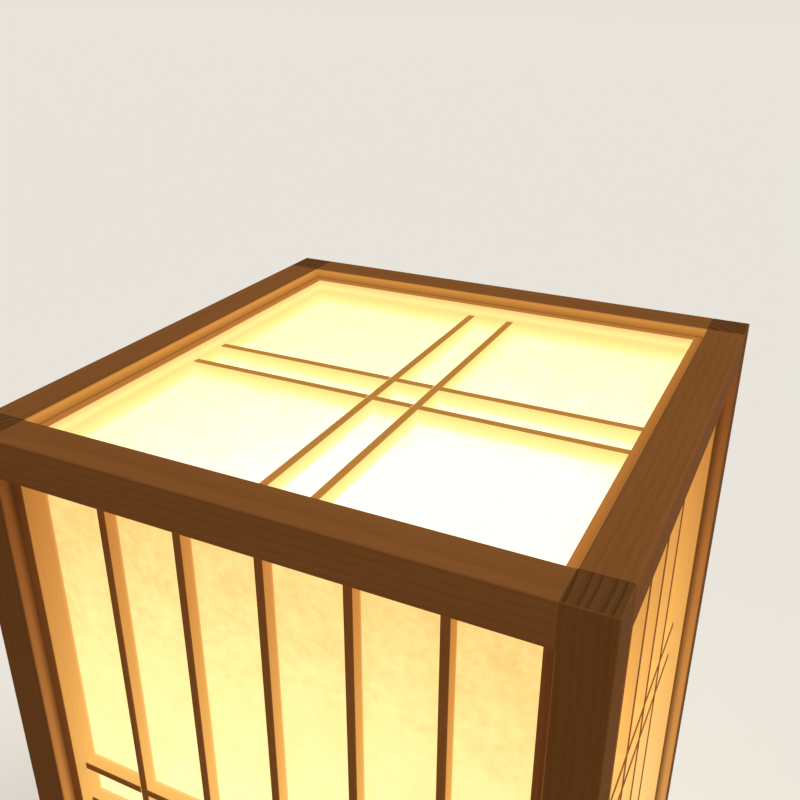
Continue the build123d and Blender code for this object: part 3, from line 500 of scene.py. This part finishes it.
# Zinc-plated steel has a straw tint and is half bright. Pressed brass is warm yellow with a soft
# gloss. Nickel-plated brass is a warm pale grey and the brightest of the three.
zinc = speckled("zinc_plated_steel", "#C8B888", "#DCCB98", 1.2, 0.35, 0.01, Metallic=1.0)
brass = speckled("pressed_brass", "#C8A050", "#DDB868", 3.0, 0.3, 0.01, Metallic=1.0)
nickel = speckled("nickel_plated_brass", "#C4BEB2", "#D8D3C8", 2.0, 0.25, 0.01, Metallic=1.0)
for metal, pieces in ((zinc, ("board_screws", "lampholder_screws")),
                      (brass, ("lampholder_shell", "lampholder_contact", "lampholder_rivets",
                               "terminal_plates", "terminal_screws")),
                      (nickel, ("bulb_screw_cap", "bulb_tip_contact"))):
    for piece in pieces:
        finish_node(piece, metal)

# Black glass between the cap and its tip: cast smooth, so it is black and shiny.
finish_node("bulb_insulator", speckled("black_glass", "#0C0C0E", "#161618", 2.0, 0.15))

# Moulded white plastic: a slightly warm white with a satin sheen.
finish_node("bulb_housing", speckled("moulded_white_plastic", "#E6E4DE", "#EFEEE9", 3.0, 0.4, 0.01))

# Frosted plastic: milky, and it gives off the soft warm light of what is inside it.
finish_node("bulb_globe", speckled("frosted_plastic_globe", "#F4EAD8", "#FAF2E4", 2.0, 0.5, 0.01,
                                   Emission_Color=colour("#FFE8C0"), Emission_Strength=0.5))

# Inside the bulb: white lacquer with a low sheen on the emitters' board, egg-yellow phosphor that
# gives off light, and green lacquer with a low sheen on the circuit board.
finish_node("bulb_led_board", speckled("white_solder_mask", "#E8E8E4", "#F2F2EF", 2.0, 0.4))
finish_node("bulb_leds", speckled("yellow_phosphor", "#E8C040", "#F0CC58", 0.5, 0.4,
                                  Emission_Color=colour("#FFE8B0"), Emission_Strength=1.0))
finish_node("bulb_driver", speckled("green_circuit_board", "#1C5A34", "#246B40", 2.0, 0.4))

# Pressed wool felt: dark brown and quite matt, with tufts under a millimetre across.
finish_node("foot_pads", speckled("pressed_felt", "#3A2C20", "#56443A", 0.6, 0.95, 0.15))


# ================================================================ studio

FLOOR_COLOUR = "#E9E4DB"
FLOOR_REACH = 14.0                 # metres from the lamp to the edge of the floor
SKY_LEVEL = 0.22                   # soft light from all round
KEY_LIGHT = (0.36, -0.03, 0.78)    # what the key light adds to faces that look along X, Y and Z, and
                                   # where it is below zero, to those that look the other way
KEY_SPREAD = radians(40)           # how wide the key light is, seen from the lamp


def make_floor():
    """Plain pale floor, matt, so that it shows no sheen, and far wider than any view."""
    far = FLOOR_REACH
    mesh = bpy.data.meshes.new("studio_floor")
    mesh.from_pydata([(-far, -far, 0), (far, -far, 0), (far, far, 0), (-far, far, 0)], [],
                     [(0, 1, 2, 3)])
    mesh.materials.append(material("matt_studio_floor", Base_Color=colour(FLOOR_COLOUR),
                                   Roughness=0.9, Specular_IOR_Level=0.1)[0])
    floor = bpy.data.objects.new("studio_floor", mesh)
    bpy.context.scene.collection.objects.link(floor)


def make_world():
    """Soft light from all round, and the floor's colour past its edge, as the camera sees it and as
    metal and glass mirror it."""
    world = bpy.data.worlds.new("studio")
    world.use_nodes = True
    tree = world.node_tree
    tree.nodes.clear()
    rays = add(tree, "LightPath").node.outputs
    mirrored = add(tree, "Math", rays["Is Glossy Ray"], rays["Is Transmission Ray"],
                   operation="MAXIMUM")
    seen = add(tree, "Math", rays["Is Camera Ray"], mirrored, operation="MAXIMUM")
    soft = add(tree, "Background", "#FFFFFF", SKY_LEVEL)
    backdrop = add(tree, "Background", FLOOR_COLOUR, 1.0)
    sky = add(tree, "MixShader", seen, soft, backdrop)
    tree.links.new(sky, tree.nodes.new("ShaderNodeOutputWorld").inputs["Surface"])
    bpy.context.scene.world = world


def make_key_light():
    """A wide soft light from above and from the right."""
    light = bpy.data.lights.new("key_light", "SUN")
    light.energy = Vector(KEY_LIGHT).length * pi
    light.angle = KEY_SPREAD
    key = bpy.data.objects.new("key_light", light)
    key.rotation_euler = Vector(KEY_LIGHT).to_track_quat("Z", "Y").to_euler()
    bpy.context.scene.collection.objects.link(key)


make_floor()
make_world()
make_key_light()

# ================================================================ camera

CAMERA_PLACE = (0.16551, -0.34105, 0.73074)     # metres
CAMERA_YAW = radians(26.168)                    # turned left of straight ahead
CAMERA_PITCH = radians(25.123)                  # looking down
CAMERA_ROLL = radians(0.118)
CAMERA_LENS = 41.70                             # mm
CAMERA_FRAME = 36.0                             # mm, the width of the frame behind that lens
CAMERA_NEAR = 0.02                              # metres, nearer than which nothing shows

camera = bpy.data.objects.new("camera", bpy.data.cameras.new("camera"))
camera.data.lens = CAMERA_LENS
camera.data.sensor_width = CAMERA_FRAME
camera.data.clip_start = CAMERA_NEAR
camera.matrix_world = (Matrix.Translation(CAMERA_PLACE) @ Matrix.Rotation(CAMERA_YAW, 4, "Z")
                       @ Matrix.Rotation(pi / 2 - CAMERA_PITCH, 4, "X")
                       @ Matrix.Rotation(CAMERA_ROLL, 4, "Z"))
bpy.context.scene.collection.objects.link(camera)
bpy.context.scene.camera = camera
bpy.context.scene.view_settings.view_transform = "Standard"
